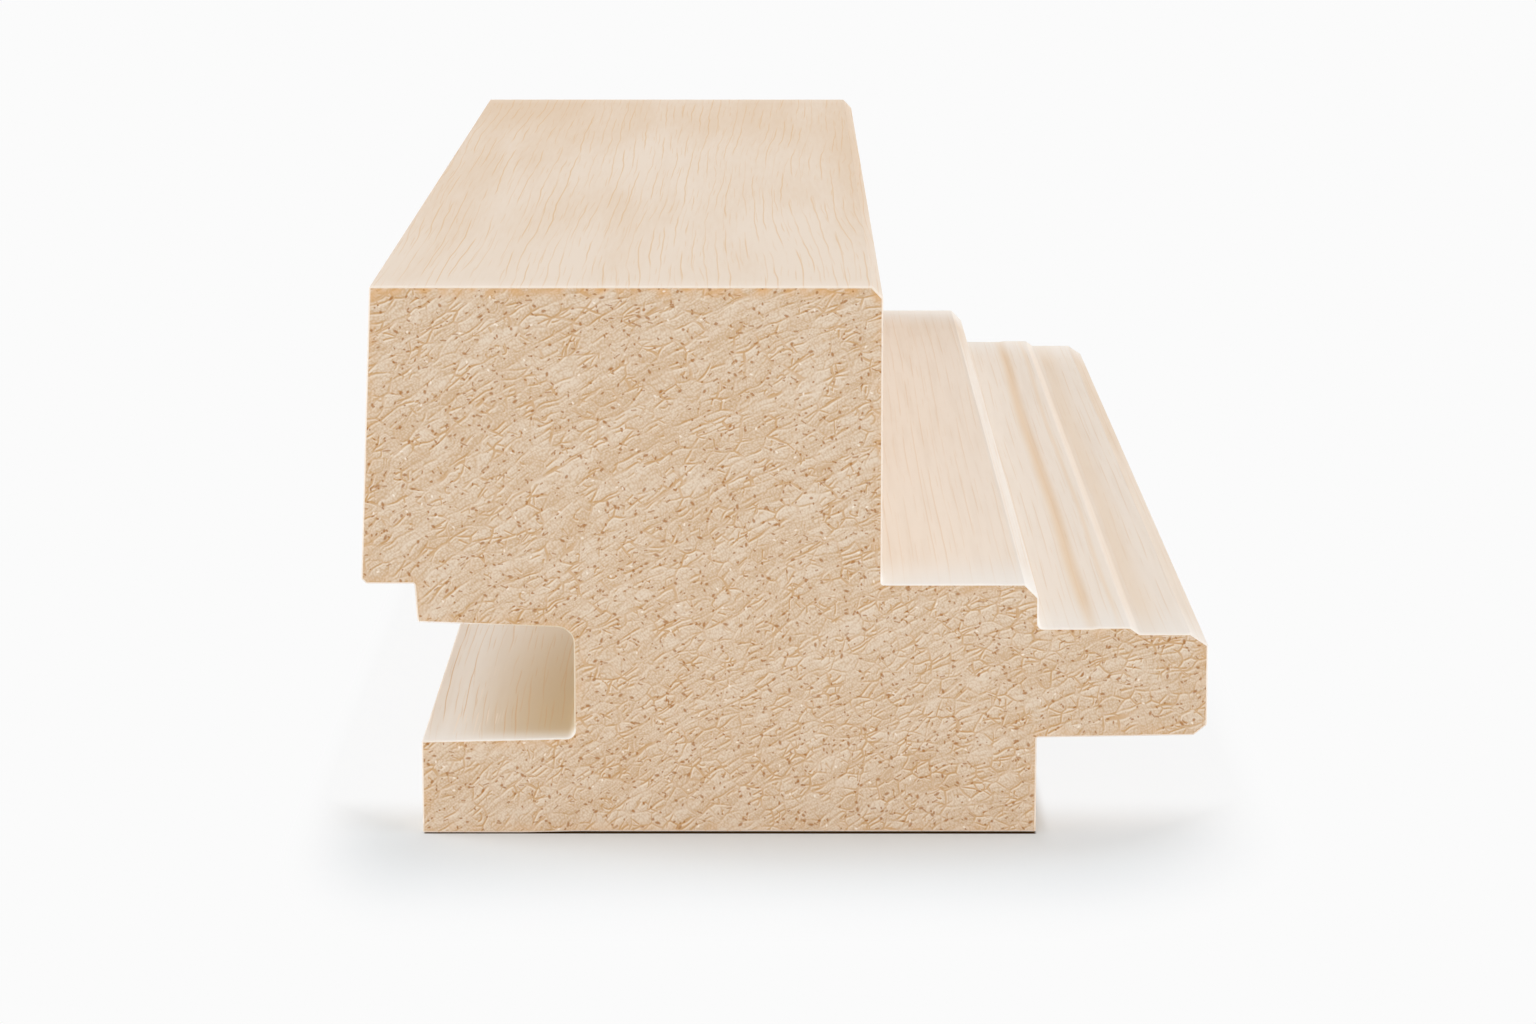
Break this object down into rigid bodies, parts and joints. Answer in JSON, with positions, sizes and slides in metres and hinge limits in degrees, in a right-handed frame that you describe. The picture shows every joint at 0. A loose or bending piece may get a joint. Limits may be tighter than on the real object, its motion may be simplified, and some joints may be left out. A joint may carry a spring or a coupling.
{
  "type": "tongue-and-groove siding board",
  "caption": "Short length of solid wood cladding board with a raised square block face, a tongue on one long edge and a groove on the other.",
  "frame": {"origin": "middle of the flat back, under the middle of the board's width and length, at the centre of the base of the bounding box", "axes": "+X across the board towards the tongue, +Y along the grain from the front end to the far end, +Z from the flat back towards the block's face"},
  "size_m": [0.064, 0.15, 0.042],
  "materials": {
    "wood": "planed, unfinished pale hardwood with sawn ends"
  },
  "bodies": {
    "root": {"siding_board": "wood"}
  },
  "joints": []
}
